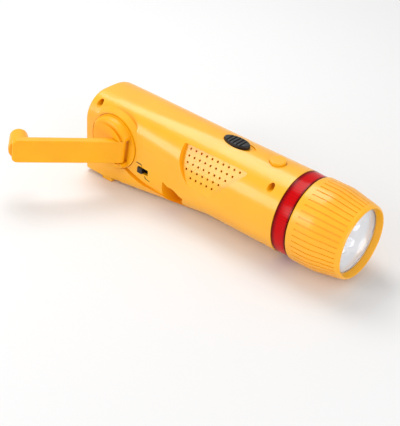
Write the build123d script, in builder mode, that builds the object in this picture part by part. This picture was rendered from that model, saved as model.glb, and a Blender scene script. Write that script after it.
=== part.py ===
from build123d import *
from math import acos, cos, pi, radians, sin, tan
import os

# Hand crank torch, millimetres. The origin is on the barrel axis at the flat tail face.
# +X runs along the barrel to the lens, +Z is up, and the crank is on the -Y side.

# Housing: a round barrel, squared off towards the tail on the crank side
barrel_length = 152.5
barrel_radius = 26.5
tail_swell = 0.5
tail_centre_y = -1.5
tail_centre_z = 1.5
side_rise = 0.8
floor_drop = 0.9
tail_low_corner = 1.6
tail_top_corner = 17.0
floor_top_corner = 17.0
flare_start = 17.0
floor_start = 44.0
flare_end = 98.0
seam_flat = 1.0
wall = 2.2
tail_edge_fillet = 1.1
foot_centre_x = 18.5
foot_length = 8.0
foot_width_front = 26.4
foot_width_back = 10.0
neck_length = 8.2
neck_step = 3.7
neck_wall = 2.2

# Running and seating clearances
hinge_clearance = 0.08
shaft_clearance = 0.08
seat_gap = 0.3
part_gap = 0.1
slide_gap = 0.25

# Crank hub, turning about an axis along Y
hub_x = 24.8
hub_z = 4.9
hub_radius = 18.5
hub_rest_angle = 7.0
hub_disc_inner = 24.2
hub_rim_level = 27.2
hub_top_level = 34.2
hub_shoulder_radius = 13.6
hub_shoulder_level = 32.6
hub_foot_radius = 17.8
hub_end_wall = 13.2
pad_level = 26.1
pad_margin = 1.1
pad_slope = 3.0
hub_shaft_radius = 4.0
hub_drive_flats = 6.0

# Folding crank arm and its knob
arm_length = 71.0
arm_width = 16.8
arm_thickness = 4.8
arm_rest_angle = 52.5
arm_slot_gap = 0.4
arm_tip_corner = 3.5
arm_edge_fillet = 0.9
hinge_radius = 10.2
hinge_level = 30.2
hinge_pin_radius = 1.25
hinge_ear_depth = 2.4
knob_from_hinge = 63.5
knob_base_radius = 7.0
knob_top_radius = 5.5
knob_height = 13.2
knob_boss_radius = 7.2
knob_boss_height = 1.0
knob_post_radius = 2.0
knob_post_head = 2.8
knob_post_depth = 2.6

# Stowed place of the arm: knob well and finger scoop
stow_angle = -23.0
well_clearance = 0.5
well_bottom = 12.8
well_wall = 1.6
scoop_reach = 83.3
scoop_level = 19.5
scoop_apex_height = 9.1
scoop_tip_height = 3.2
scoop_tip_width = 1.8

# Gear train, one tooth size throughout
tooth_module = 0.8
pressure_angle = 25.0
tooth_backlash = 0.08
crank_teeth = 40
idler_pinion_teeth = 12
idler_wheel_teeth = 36
rotor_teeth = 12
centre_allowance = 0.05
first_stage_outer = 18.6
second_stage_outer = 14.6
first_stage_width = 2.7
second_stage_width = 3.0
idler_direction = -15.9
rotor_direction = 30.0
idler_pin_radius = 1.5
rotor_shaft_radius = 1.0

# Gear plate and generator
plate_outer = 11.0
plate_thickness = 1.2
pillar_radius = 2.6
plate_screw_radius = 1.0
plate_screw_head = 2.1
can_radius = 11.0
can_outer = 9.5
can_length = 17.5
can_wall = 0.8

# Controls
slider_centre_x = 103.2
slider_length = 19.0
slider_width = 9.4
slider_travel = 4.0
slider_rise = 1.8
slider_thickness = 2.6
slider_stem_length = 6.0
slider_stem_width = 3.0
button_x = 134.5
button_radius = 5.1
button_rise = 1.9
button_flange = 0.4
button_stroke_gap = 0.1
button_travel = 1.2
selector_x = 50.0
selector_z = -6.7
selector_slot_length = 8.6
selector_slot_width = 4.2
selector_travel = 4.0
selector_knob_top = 26.9
slider_grooves = 5
slider_groove_pitch = 2.6
switch_drop = 3.9
button_drop = 4.3

# Case screws
screw_head_radius = 1.85
screw_head_height = 1.6
screw_shank_radius = 1.1
screw_boss_radius = 2.9
screw_column_radius = 2.6
screw_seat_level = 9.0
screw_depth = 8.5

# Speaker and its grille shield
speaker_x = 101.0
speaker_angle = 27.0
speaker_radius = 16.0
speaker_front = 17.6
grille_hole_radius = 0.75
grille_pitch = 4.27
grille_row_pitch = 4.15
grille_left = -19.8
grille_top = 9.9
grille_row_shift = 0.75
grille_rows = [(0, 10), (0, 9), (0, 8), (0, 7), (1, 5)]
shield_radius = 70.0
shield_recess = 1.9
groove_depth = 1.3
groove_width = 1.8

# Circuit board and battery
board_bottom = 17.0
board_thickness = 1.6
board_start = 86.0
board_end = 138.5
board_front_y = -4.0
board_back_y = 14.0
cell_radius = 5.1
cell_length = 30.0
cell_orbit = 17.6
cell_start = 88.0
cell_spacing_angle = 36.0

# Head group
ring_length = 9.8
ring_waist = 0.3
head_length = 35.9
head_step = 0.5
head_groove_count = 44
head_groove_depth = 0.45
head_groove_width = 0.7
head_lip_drop = 4.1
flasher_radius = 1.5
flasher_angles = (45, 135, 225, 315)
lip_width = 2.5
lens_seat = 1.0
lens_setback = 4.2
lens_thickness = 1.8
led_radius = 2.5
led_count = 5
led_orbit = 8.6

# Sizes that follow from the ones above
tail_radius = barrel_radius + tail_swell
side_level = barrel_radius + side_rise
floor_level = barrel_radius - floor_drop
slider_top = barrel_radius + slider_rise
slider_bottom = slider_top - slider_thickness
slider_recess = slider_bottom - seat_gap
switch_top = barrel_radius - switch_drop
button_top = barrel_radius + button_rise
button_bottom = barrel_radius - button_drop
neck_radius = barrel_radius - neck_step
head_radius = barrel_radius + head_step
head_lip_radius = head_radius - head_lip_drop
lens_opening = head_lip_radius - lip_width
lens_radius = lens_opening + lens_seat
ring_start = barrel_length
head_start = barrel_length + ring_length + 0.2
head_end = head_start + head_length
lens_front = head_end - lens_setback

os.makedirs("parts", exist_ok=True)


def save(builder, name):
    """Label a finished piece and write it to its own file."""
    builder.part.label = name
    export_step(builder.part, f"parts/{name}.step")


def across(level):
    """Plane facing the crank side at a height above the barrel's middle plane: u is X, v is Z."""
    return Plane.XZ.offset(level)


# Frames that turn with the crank: the hub's own plane and the arm's side plane
side_normal = Vector(0, -1, 0)
hub_dir = Vector(cos(radians(hub_rest_angle)), 0, -sin(radians(hub_rest_angle)))
hub_up = side_normal.cross(hub_dir)
hub_centre = Vector(hub_x, 0, hub_z)
hub_axis = Axis(hub_centre, side_normal)
hub_plane = Plane(origin=hub_centre, x_dir=hub_dir, z_dir=side_normal)
hub_profile_plane = Plane(origin=hub_centre, x_dir=hub_dir, z_dir=hub_dir.cross(side_normal))
hinge_point = hub_centre + hub_dir * hinge_radius + side_normal * hinge_level
arm_dir = side_normal * sin(radians(arm_rest_angle)) - hub_dir * cos(radians(arm_rest_angle))
arm_plane = Plane(origin=hinge_point, x_dir=arm_dir, z_dir=hub_up)
knob_seat = -(arm_thickness / 2 + knob_boss_height)


# ---------------------------------------------------------------- housing forms
def body_section(x, centre_y, centre_z, radius, front, low_corner, top_corner, inset):
    """Outline across the housing: round at the back, squared with two corners on the crank side."""
    r = radius - inset
    f = front - inset
    low = max(low_corner - inset, 0.5)
    top = max(top_corner - inset, 0.5)
    high_z = centre_z + r
    low_z = centre_z - r
    turn = 1 - cos(pi / 4)
    with BuildSketch(Plane.YZ.offset(x)) as section:
        with BuildLine():
            Line((-f, low_z + low), (-f, high_z - top))
            ThreePointArc((-f, high_z - top), (-f + top * turn, high_z - top * turn), (-f + top, high_z))
            Line((-f + top, high_z), (centre_y, high_z))
            ThreePointArc((centre_y, high_z), (centre_y + r, centre_z), (centre_y, low_z))
            Line((centre_y, low_z), (-f + low, low_z))
            ThreePointArc((-f + low, low_z), (-f + low * turn, low_z + low * turn), (-f, low_z + low))
        make_face()
    return section.sketch


def flare_share(x):
    """How far a station lies along the flare, from 0 at its start to 1 at its end."""
    return (x - flare_start) / (flare_end - flare_start)


def blended(tail_value, barrel_value, x):
    return tail_value + (barrel_value - tail_value) * flare_share(x)


barrel_corner = barrel_radius - seam_flat / 2


def tail_section(x, inset):
    return body_section(
        x, tail_centre_y, tail_centre_z, tail_radius, side_level, tail_low_corner, tail_top_corner, inset
    )


def floor_section(x, inset):
    """Section where the side has dropped to the stow floor."""
    return body_section(
        x,
        blended(tail_centre_y, 0, x),
        blended(tail_centre_z, 0, x),
        blended(tail_radius, barrel_radius, x),
        floor_level,
        blended(tail_low_corner, barrel_corner, x),
        floor_top_corner,
        inset,
    )


def barrel_section(x, inset):
    return body_section(x, 0, 0, barrel_radius, barrel_radius, barrel_corner, barrel_corner, inset)


def housing_form(start, end, inset):
    """Solid inside the housing outline, drawn in by inset."""
    with BuildPart() as form:
        extrude(tail_section(start, inset), amount=flare_start - start)
        loft([tail_section(flare_start, inset), floor_section(floor_start, inset)], ruled=True)
        loft([floor_section(floor_start, inset), barrel_section(flare_end, inset)], ruled=True)
        extrude(barrel_section(flare_end, inset), amount=end - flare_end)
    return form.part


well_centre = Vector(hub_x, hub_z) + Vector(
    (knob_from_hinge - hinge_radius) * cos(radians(stow_angle)),
    (knob_from_hinge - hinge_radius) * sin(radians(stow_angle)),
)
well_radius = knob_base_radius + well_clearance


def well_outline(level, extra):
    """Round knob well at the stowed knob, grown by extra."""
    with BuildSketch(across(level)) as outline:
        with Locations((well_centre.X, well_centre.Y)):
            Circle(well_radius + extra)
    return outline.sketch


def scoop_outline(level, extra):
    """Wedge-shaped fingertip scoop over the well, pointed towards the head, grown by extra."""
    left = well_centre.X - well_radius
    with BuildSketch(across(level)) as outline:
        with BuildLine():
            Polyline(
                (left, well_centre.Y),
                (left + 0.6, well_centre.Y + scoop_apex_height),
                (scoop_reach, well_centre.Y + scoop_tip_height),
                (scoop_reach - 1.0, well_centre.Y + scoop_tip_height - scoop_tip_width),
                (well_centre.X + 3.0, well_centre.Y - well_radius * 0.9),
                (well_centre.X, well_centre.Y - well_radius * 0.9),
                close=True,
            )
        make_face()
        if extra:
            offset(amount=extra)
    return outline.sketch


# Cylindrical frame of the speaker: u along X, v upwards round the barrel, normal outwards
speaker_normal = Vector(0, -cos(radians(speaker_angle)), sin(radians(speaker_angle)))
speaker_frame_plane = Plane(origin=(speaker_x, 0, 0), x_dir=(1, 0, 0), z_dir=speaker_normal)

shield_left = -24.0
shield_right = 25.5
shield_top = 12.0
shield_bottom = -14.0


def shield_outline(extra):
    """Grille shield: straight top and right edges, one round sweep at the left and below; grown by extra."""
    with BuildSketch(speaker_frame_plane) as outline:
        with BuildLine():
            Line((shield_left, shield_top), (shield_right, shield_top))
            Line((shield_right, shield_top), (7.5, -10.0))
            ThreePointArc((7.5, -10.0), (-3.5, shield_bottom), (-14.5, -10.5))
            ThreePointArc((-14.5, -10.5), (-21.8, -0.5), (shield_left, shield_top))
        make_face()
        fillet(outline.vertices().sort_by(Axis.X)[-1], radius=1.5)
        if extra:
            offset(amount=extra)
    return outline.sketch


# Screw places as (x, z); the heads sit on the crank side
tail_screw_x = 7.2
low_tail_screw_z = -15.5
case_screw_places = [(tail_screw_x, 24.0), (tail_screw_x, low_tail_screw_z), (143.0, 20.2), (143.0, -20.2)]
screw_rib_thickness = 2.0
pillar_places = [(30.0, -19.5), (49.5, 17.0), (57.5, -15.5)]

# Gear centres, worked out from tooth counts along the chosen directions
first_distance = tooth_module * (crank_teeth + idler_pinion_teeth) / 2 + centre_allowance
second_distance = tooth_module * (idler_wheel_teeth + rotor_teeth) / 2 + centre_allowance
idler_x = hub_x + first_distance * cos(radians(idler_direction))
idler_z = hub_z + first_distance * sin(radians(idler_direction))
rotor_x = idler_x + second_distance * cos(radians(rotor_direction))
rotor_z = idler_z + second_distance * sin(radians(rotor_direction))

hub_seat_radius = hub_radius + seat_gap
hub_seat_level = hub_disc_inner - seat_gap
bearing_radius = hub_shaft_radius + shaft_clearance
bearing_inner = first_stage_outer + 0.5

with BuildPart() as outer_form:
    add(housing_form(0, barrel_length, 0))
    fillet(outer_form.edges().group_by(Axis.X)[0], radius=tail_edge_fillet)
    # conical collar round the hub seat
    with BuildSketch(across(pad_level)):
        with Locations((hub_x, hub_z)):
            Circle(hub_seat_radius + pad_margin)
    extrude(amount=-pad_slope, taper=-45)
    # foot rib under the tail
    with Locations((foot_centre_x, (foot_width_back - foot_width_front) / 2, -head_radius)):
        Box(
            foot_length,
            foot_width_back + foot_width_front,
            8,
            align=(Align.CENTER, Align.CENTER, Align.MIN),
        )

# squared lower lip that runs from the hub to the end of the scoop
lip_line = [(hub_x + 6, -9.0), (41.0, -13.8), (51.0, -16.4), (62.0, -17.6), (74.0, -20.8)]
with BuildPart() as lip_form:
    loft(
        [
            tail_section(flare_start, 0),
            barrel_section(flare_end, 0),
        ],
        ruled=True,
    )
    with BuildSketch(across(side_level + 1)):
        with BuildLine():
            Spline(*lip_line)
            Line(lip_line[-1], (92.0, -24.0))
            Line((92.0, -24.0), (92.0, -34.0))
            Line((92.0, -34.0), (hub_x + 6, -34.0))
            Line((hub_x + 6, -34.0), (hub_x + 6, -9.0))
        make_face()
    extrude(amount=-40, mode=Mode.INTERSECT)

# flatter face of the grille shield, sunk into the barrel
shield_axis_point = Vector(speaker_x, 0, 0) - speaker_normal * (shield_radius - barrel_radius + shield_recess)


def shield_block(inset):
    """Space outside the shield's face, inside its outline grown by inset, with the face drawn in by inset."""
    with BuildPart() as block:
        extrude(shield_outline(inset), amount=barrel_radius + 6)
        with BuildSketch(Plane(origin=shield_axis_point - Vector(40, 0, 0), z_dir=(1, 0, 0))):
            Circle(shield_radius - inset)
        extrude(amount=80, mode=Mode.SUBTRACT)
    return block.part


# groove between the stow floor and the lower lip
with BuildPart() as groove_form:
    with BuildSketch(across(floor_level - groove_depth)):
        with BuildLine():
            Spline(*lip_line)
            Line(lip_line[-1], (lip_line[-1][0], lip_line[-1][1] + groove_width))
            Spline(*[(x, z + groove_width) for x, z in reversed(lip_line)])
            Line((lip_line[0][0], lip_line[0][1] + groove_width), lip_line[0])
        make_face()
    extrude(amount=8)

with BuildPart() as whole_form:
    add(outer_form.part)
    add(lip_form.part)
    add(groove_form.part, mode=Mode.SUBTRACT)
    add(shield_block(0), mode=Mode.SUBTRACT)

# Hollow of the housing, less everything that is moulded inward from the walls
with BuildPart() as hollow_form:
    add(housing_form(wall, barrel_length + 1, wall))
    # case screw bosses
    with BuildSketch(across(screw_seat_level - 1.6)):
        with Locations(case_screw_places):
            Circle(screw_boss_radius)
    extrude(amount=40, mode=Mode.SUBTRACT)
    with BuildSketch(across(-screw_depth - 2)):
        with Locations(case_screw_places):
            Circle(screw_column_radius)
        # rib that ties the low tail column to the tail wall
        with Locations((tail_screw_x / 2, low_tail_screw_z)):
            Rectangle(tail_screw_x, screw_rib_thickness)
    extrude(amount=40, mode=Mode.SUBTRACT)
    # gear plate pillars, down to the plate
    with BuildSketch(across(plate_outer + part_gap)):
        with Locations(pillar_places):
            Circle(pillar_radius)
    extrude(amount=20, mode=Mode.SUBTRACT)
    # hub bearing block, seat floor and idler pin boss
    with BuildSketch(across(bearing_inner)):
        with Locations((hub_x, hub_z)):
            Circle(hub_shaft_radius + 3.0)
    extrude(amount=20, mode=Mode.SUBTRACT)
    with BuildSketch(across(hub_seat_level - wall)):
        with Locations((hub_x, hub_z)):
            Circle(hub_seat_radius + wall)
    extrude(amount=20, mode=Mode.SUBTRACT)
    with BuildSketch(across(first_stage_outer + 0.4)):
        with Locations((idler_x, idler_z)):
            Circle(idler_pin_radius + 1.4)
    extrude(amount=20, mode=Mode.SUBTRACT)
    # tub of the knob well and its scoop, and the backing of the sunk shield
    extrude(well_outline(well_bottom - well_wall, well_wall), amount=20, mode=Mode.SUBTRACT)
    extrude(scoop_outline(scoop_level - well_wall, well_wall), amount=20, mode=Mode.SUBTRACT)
    add(shield_block(wall), mode=Mode.SUBTRACT)
    # speaker seat ring
    with BuildSketch(speaker_frame_plane.offset(speaker_front + part_gap)):
        Circle(speaker_radius + 0.4)
        Circle(speaker_radius - 1.6, mode=Mode.SUBTRACT)
    extrude(amount=20, mode=Mode.SUBTRACT)
    # ledges under the circuit board on the plain side
    for ledge_x in (board_start + 6, board_end - 6):
        with Locations((ledge_x, board_back_y - 2, board_bottom - seat_gap)):
            Box(2.4, 14, 3, align=(Align.CENTER, Align.MIN, Align.MAX), mode=Mode.SUBTRACT)

neck_inner = neck_radius - neck_wall
neck_end = barrel_length + neck_length

with BuildPart() as neck_form:
    with BuildSketch(Plane.YZ.offset(barrel_length - 4)):
        Circle(barrel_radius - wall / 2)
        Circle(neck_inner, mode=Mode.SUBTRACT)
    extrude(amount=4)
    with BuildSketch(Plane.YZ.offset(barrel_length)):
        Circle(neck_radius)
        Circle(neck_inner, mode=Mode.SUBTRACT)
    extrude(amount=neck_length)
    # windows for the warning lamps under the red ring
    flasher_x = barrel_length + ring_length / 2
    for lamp_angle in flasher_angles:
        lamp_dir = Vector(0, cos(radians(lamp_angle)), sin(radians(lamp_angle)))
        with BuildSketch(Plane(origin=(flasher_x, 0, 0), x_dir=(1, 0, 0), z_dir=lamp_dir)):
            Circle(flasher_radius + part_gap)
        extrude(amount=30, mode=Mode.SUBTRACT)

with BuildPart() as case_form:
    add(whole_form.part)
    add(hollow_form.part, mode=Mode.SUBTRACT)
    add(neck_form.part)
    # case screw holes: counterbore, clearance and pilot
    with BuildSketch(across(screw_seat_level)):
        with Locations(case_screw_places):
            Circle(screw_head_radius + seat_gap)
    extrude(amount=40, mode=Mode.SUBTRACT)
    with BuildSketch(across(screw_seat_level)):
        with Locations(case_screw_places):
            Circle(screw_shank_radius + 0.03)
    extrude(amount=-screw_seat_level - screw_depth - 0.5, mode=Mode.SUBTRACT)

    # openings for the power slider and the lamp button, across the seam
    with BuildSketch(Plane.XY.offset(slider_recess)):
        with Locations((slider_centre_x + slider_travel / 2, 0)):
            Ellipse((slider_length + slider_travel) / 2 + 2 * slide_gap, slider_width / 2 + 2 * slide_gap)
    extrude(amount=6, mode=Mode.SUBTRACT)
    with BuildSketch(Plane.XY.offset(slider_recess - 5)):
        with Locations((slider_centre_x + slider_travel / 2, 0)):
            Rectangle(slider_stem_length + slider_travel + 2 * slide_gap, slider_stem_width + 2 * slide_gap)
    extrude(amount=6, mode=Mode.SUBTRACT)
    with BuildSketch(Plane.XY.offset(barrel_radius - 6)):
        with Locations((button_x, 0)):
            Circle(button_radius + slide_gap)
    extrude(amount=12, mode=Mode.SUBTRACT)


# ---------------------------------------------------------------- the two housing shells
with BuildPart() as crank_side_shell:
    add(case_form.part)
    split(bisect_by=Plane.XZ, keep=Keep.TOP)
    # seat and bearing of the crank hub
    with BuildSketch(across(hub_seat_level)):
        with Locations((hub_x, hub_z)):
            Circle(hub_seat_radius)
    extrude(amount=10, mode=Mode.SUBTRACT)
    with BuildSketch(across(bearing_inner - 1)):
        with Locations((hub_x, hub_z)):
            Circle(bearing_radius)
    extrude(amount=10, mode=Mode.SUBTRACT)
    # blind seat of the idler pin, and pilot holes in the pillars
    with BuildSketch(across(first_stage_outer)):
        with Locations((idler_x, idler_z)):
            Circle(idler_pin_radius + 0.02)
    extrude(amount=2.4, mode=Mode.SUBTRACT)
    with BuildSketch(across(plate_outer)):
        with Locations(pillar_places):
            Circle(plate_screw_radius + 0.03)
    extrude(amount=5, mode=Mode.SUBTRACT)
    # knob well and fingertip scoop of the stowed arm
    extrude(well_outline(well_bottom, 0), amount=20, mode=Mode.SUBTRACT)
    extrude(scoop_outline(scoop_level, 0), amount=20, mode=Mode.SUBTRACT)
    # selector slot
    with BuildSketch(across(floor_level - 4)):
        with Locations((selector_x, selector_z)):
            Rectangle(selector_slot_length, selector_slot_width)
    extrude(amount=8, mode=Mode.SUBTRACT)
    # grille: rows along the barrel that get shorter towards the bottom
    with BuildSketch(speaker_frame_plane.offset(speaker_front + 2)):
        for row, (first_hole, holes) in enumerate(grille_rows):
            row_start = grille_left + row * grille_row_shift
            for hole in range(first_hole, first_hole + holes):
                with Locations((row_start + hole * grille_pitch, grille_top - row * grille_row_pitch)):
                    Circle(grille_hole_radius)
    extrude(amount=20, mode=Mode.SUBTRACT)
save(crank_side_shell, "crank_side_shell")

with BuildPart() as plain_side_shell:
    add(case_form.part)
    split(bisect_by=Plane.XZ, keep=Keep.BOTTOM)
save(plain_side_shell, "plain_side_shell")

with BuildPart() as case_screws:
    with BuildSketch(across(screw_seat_level)):
        with Locations(case_screw_places):
            Circle(screw_head_radius)
    extrude(amount=screw_head_height)
    with BuildSketch(across(screw_seat_level)):
        with Locations(case_screw_places):
            Circle(screw_shank_radius)
    extrude(amount=-screw_seat_level - screw_depth)
    # cross recess in each head
    with BuildSketch(across(screw_seat_level + screw_head_height)):
        with Locations(case_screw_places):
            Rectangle(2.6, 0.6)
            Rectangle(0.6, 2.6)
    extrude(amount=-1.0, mode=Mode.SUBTRACT)
save(case_screws, "case_screws")


# ---------------------------------------------------------------- crank: hub, arm and knob
hub_drive_outer = first_stage_outer + part_gap
hub_drive_end = first_stage_outer - first_stage_width
hex_circle = hub_drive_flats / 2 / cos(pi / 6)
slot_width = arm_width + 2 * arm_slot_gap
slot_floor = hub_rim_level
root_pocket = 1.2
hinge_plane = Plane(origin=hinge_point, x_dir=hub_dir, z_dir=hub_up)

with BuildPart() as crank_hub:
    with BuildSketch(hub_plane.offset(hub_disc_inner)):
        Circle(hub_radius)
    extrude(amount=hub_rim_level - hub_disc_inner)
    with BuildSketch(hub_profile_plane):
        with BuildLine():
            Line((0, hub_rim_level - 0.5), (hub_foot_radius, hub_rim_level - 0.5))
            Line((hub_foot_radius, hub_rim_level - 0.5), (hub_foot_radius, hub_rim_level))
            Spline(
                (hub_foot_radius, hub_rim_level),
                (hub_foot_radius - 1.1, hub_rim_level + 4.0),
                (hub_shoulder_radius, hub_shoulder_level),
                (0, hub_top_level),
                tangents=((-0.1, 1), (-1, 0)),
            )
            Line((0, hub_top_level), (0, hub_rim_level - 0.5))
        make_face()
    revolve(axis=hub_axis)
    # slot for the arm between two ears; at the hinge end it stops at a low rim
    with BuildSketch(hub_plane.offset(slot_floor)):
        Rectangle(3 * hub_radius, slot_width)
    extrude(amount=20, mode=Mode.SUBTRACT)
    with BuildSketch(hub_plane.offset(hub_rim_level)):
        with Locations((hub_end_wall, 0)):
            Rectangle(20, 3 * hub_radius, align=(Align.MIN, Align.CENTER))
    extrude(amount=20, mode=Mode.SUBTRACT)
    # pocket that frees the arm's round root
    with BuildSketch(hub_plane.offset(slot_floor - root_pocket)):
        with Locations((hub_end_wall, 0)):
            Rectangle(5.4, slot_width, align=(Align.MAX, Align.CENTER))
    extrude(amount=20, mode=Mode.SUBTRACT)
    # journal, hexagonal drive and screw hole
    with BuildSketch(hub_plane.offset(hub_disc_inner)):
        Circle(hub_shaft_radius)
    extrude(amount=hub_drive_outer - hub_disc_inner)
    with BuildSketch(hub_plane.offset(hub_drive_outer)):
        RegularPolygon(hex_circle, 6)
    extrude(amount=hub_drive_end - hub_drive_outer)
    with BuildSketch(hub_plane.offset(hub_drive_end)):
        Circle(1.25 + 0.03)
    extrude(amount=7, mode=Mode.SUBTRACT)
    # hinge pin hole through both ears
    with BuildSketch(hinge_plane):
        Circle(hinge_pin_radius + 0.02)
    extrude(amount=slot_width / 2 + hinge_ear_depth + 0.1, both=True, mode=Mode.SUBTRACT)
save(crank_hub, "crank_hub")

with BuildPart() as hinge_pin:
    with BuildSketch(hinge_plane):
        Circle(hinge_pin_radius)
    extrude(amount=slot_width / 2 + hinge_ear_depth, both=True)
save(hinge_pin, "hinge_pin")

root_round = arm_thickness / 2
arm_tip = arm_length - root_round
knob_point = hinge_point + arm_dir * knob_from_hinge
knob_back_plane = Plane(origin=knob_point, x_dir=arm_dir, z_dir=arm_plane.y_dir * -1)


def along_arm(shape):
    """Distance of a shape's centre from the hinge, measured along the arm."""
    return (shape.center() - hinge_point).dot(arm_dir)


def above_arm(shape):
    """Height of a shape's centre above the arm's middle plane."""
    return (shape.center() - hinge_point).dot(arm_plane.y_dir)


with BuildPart() as crank_arm:
    with BuildSketch(arm_plane.offset(-arm_width / 2)):
        with BuildLine():
            Line((0, -root_round), (arm_tip, -root_round))
            Line((arm_tip, -root_round), (arm_tip, root_round))
            Line((arm_tip, root_round), (0, root_round))
            ThreePointArc((0, root_round), (-root_round, 0), (0, -root_round))
        make_face()
    extrude(amount=arm_width)
    tip_edges = crank_arm.edges().filter_by(
        lambda e: abs(along_arm(e) - arm_tip) < 0.01 and abs(e.length - arm_thickness) < 0.01
    )
    fillet(tip_edges, radius=arm_tip_corner)
    rim_edges = crank_arm.edges().filter_by(
        lambda e: along_arm(e) > 5 and abs(abs(above_arm(e)) - root_round) < 0.01
    )
    fillet(rim_edges, radius=arm_edge_fillet)
    # raised seat of the knob on the arm's back, with the post's blind hole
    with BuildSketch(knob_back_plane):
        Circle(knob_boss_radius)
    extrude(amount=-knob_seat)
    with BuildSketch(knob_back_plane):
        Circle(knob_post_radius + 0.02)
    extrude(amount=-knob_seat, mode=Mode.SUBTRACT)
    # hinge bore
    with BuildSketch(arm_plane.offset(-arm_width)):
        Circle(hinge_pin_radius + hinge_clearance)
    extrude(amount=2 * arm_width, mode=Mode.SUBTRACT)
save(crank_arm, "crank_arm")

knob_axis = Axis(knob_point, arm_plane.y_dir)
knob_profile_plane = Plane(origin=knob_point, x_dir=arm_dir, z_dir=arm_plane.z_dir)
knob_base = knob_seat - part_gap
knob_top = knob_seat - knob_height
post_end = knob_base - 6.6
post_neck = post_end + 1.4
with BuildPart() as knob_post:
    with BuildSketch(knob_profile_plane):
        with BuildLine():
            Polyline(
                (0, 0),
                (knob_post_radius, 0),
                (knob_post_radius, post_neck),
                (knob_post_head, post_neck),
                (knob_post_head - 0.5, post_end),
                (0, post_end),
                close=True,
            )
        make_face()
    revolve(axis=knob_axis)
save(knob_post, "knob_post")

with BuildPart() as crank_knob:
    knob_bore = knob_post_radius + shaft_clearance
    knob_chamber = knob_post_head + seat_gap
    with BuildSketch(knob_profile_plane):
        with BuildLine():
            Line((knob_bore, knob_base), (knob_base_radius - 0.5, knob_base))
            Line((knob_base_radius - 0.5, knob_base), (knob_base_radius, knob_base - 0.6))
            Line((knob_base_radius, knob_base - 0.6), (knob_top_radius + 0.2, knob_top + 2.2))
            Spline(
                (knob_top_radius + 0.2, knob_top + 2.2),
                (knob_top_radius * 0.72, knob_top + 0.5),
                (0, knob_top),
                tangents=((knob_top_radius - knob_base_radius, 3.4 - knob_height), (-1, 0)),
            )
            Line((0, knob_top), (0, post_end - seat_gap))
            Line((0, post_end - seat_gap), (knob_chamber, post_end - seat_gap))
            Line((knob_chamber, post_end - seat_gap), (knob_chamber, post_neck + seat_gap))
            Line((knob_chamber, post_neck + seat_gap), (knob_bore, post_neck + seat_gap))
            Line((knob_bore, post_neck + seat_gap), (knob_bore, knob_base))
        make_face()
    revolve(axis=knob_axis)
save(crank_knob, "crank_knob")


# ---------------------------------------------------------------- gear train
def involute(angle):
    return tan(angle) - angle


def gear_face(teeth, centre_x, centre_z, tooth_angle, outer_level):
    """Gear outline with chords between points on the true flanks, one tooth lying along tooth_angle."""
    pitch_r = tooth_module * teeth / 2
    base_r = pitch_r * cos(radians(pressure_angle))
    tip_r = pitch_r + tooth_module
    root_r = pitch_r - 1.25 * tooth_module
    half_angle = pi / 2 / teeth - tooth_backlash / pitch_r + involute(radians(pressure_angle))
    start_r = max(base_r, root_r + 0.1)
    flank_radii = [start_r, (start_r + pitch_r) / 2, pitch_r, (pitch_r + tip_r) / 2, tip_r]
    flank = [(r, half_angle - involute(acos(min(1, base_r / r)))) for r in flank_radii]
    flank.insert(0, (root_r, flank[0][1] + 0.06 / root_r))
    points = []
    for tooth in range(teeth):
        middle = radians(tooth_angle) + 2 * pi * tooth / teeth
        points += [(r * cos(middle - a), r * sin(middle - a)) for r, a in flank]
        points += [(r * cos(middle + a), r * sin(middle + a)) for r, a in reversed(flank)]
    with BuildSketch(Plane(origin=(centre_x, -outer_level, centre_z), x_dir=(1, 0, 0), z_dir=side_normal)) as face:
        with BuildLine():
            Polyline(points, close=True)
        make_face()
    return face.sketch


def disc(level, x, z, radius, amount, mode=Mode.ADD):
    """Round boss or hole along the crank's axis, inside the part being built."""
    extrude(across_circle(level, x, z, radius), amount=amount, mode=mode)


def across_circle(level, x, z, radius):
    with BuildSketch(across(level)) as circle:
        with Locations((x, z)):
            Circle(radius)
    return circle.sketch


first_gap_tooth = idler_direction + 180 + 180 / idler_pinion_teeth
second_gap_tooth = rotor_direction + 180 + 180 / rotor_teeth

with BuildPart() as crank_gear:
    extrude(gear_face(crank_teeth, hub_x, hub_z, idler_direction, first_stage_outer), amount=-first_stage_width)
    with BuildSketch(hub_plane.offset(first_stage_outer)):
        RegularPolygon(hex_circle + 0.06, 6)
    extrude(amount=-first_stage_width, mode=Mode.SUBTRACT)
save(crank_gear, "crank_gear")

hub_washer_outer = hub_drive_end - part_gap
with BuildPart() as hub_screw:
    disc(hub_washer_outer, hub_x, hub_z, 4.4, -0.8)
    disc(hub_washer_outer - 0.8, hub_x, hub_z, 2.4, -1.5)
    disc(hub_washer_outer, hub_x, hub_z, 1.25, 6)
save(hub_screw, "hub_screw")

with BuildPart() as idler_gear:
    extrude(
        gear_face(idler_pinion_teeth, idler_x, idler_z, first_gap_tooth, first_stage_outer),
        amount=-first_stage_width,
    )
    extrude(
        gear_face(idler_wheel_teeth, idler_x, idler_z, rotor_direction, second_stage_outer),
        amount=-second_stage_width,
    )
    disc(second_stage_outer, idler_x, idler_z, 3.6, first_stage_outer - first_stage_width - second_stage_outer)
    disc(0, idler_x, idler_z, idler_pin_radius + shaft_clearance, 40, Mode.SUBTRACT)
save(idler_gear, "idler_gear")

with BuildPart() as rotor_pinion:
    extrude(
        gear_face(rotor_teeth, rotor_x, rotor_z, second_gap_tooth, second_stage_outer),
        amount=-second_stage_width,
    )
    disc(0, rotor_x, rotor_z, rotor_shaft_radius + 0.01, 40, Mode.SUBTRACT)
save(rotor_pinion, "rotor_pinion")

plate_inner = plate_outer - plate_thickness
with BuildPart() as idler_pin:
    disc(plate_inner, idler_x, idler_z, idler_pin_radius, first_stage_outer + 2.3 - plate_inner)
save(idler_pin, "idler_pin")

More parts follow.
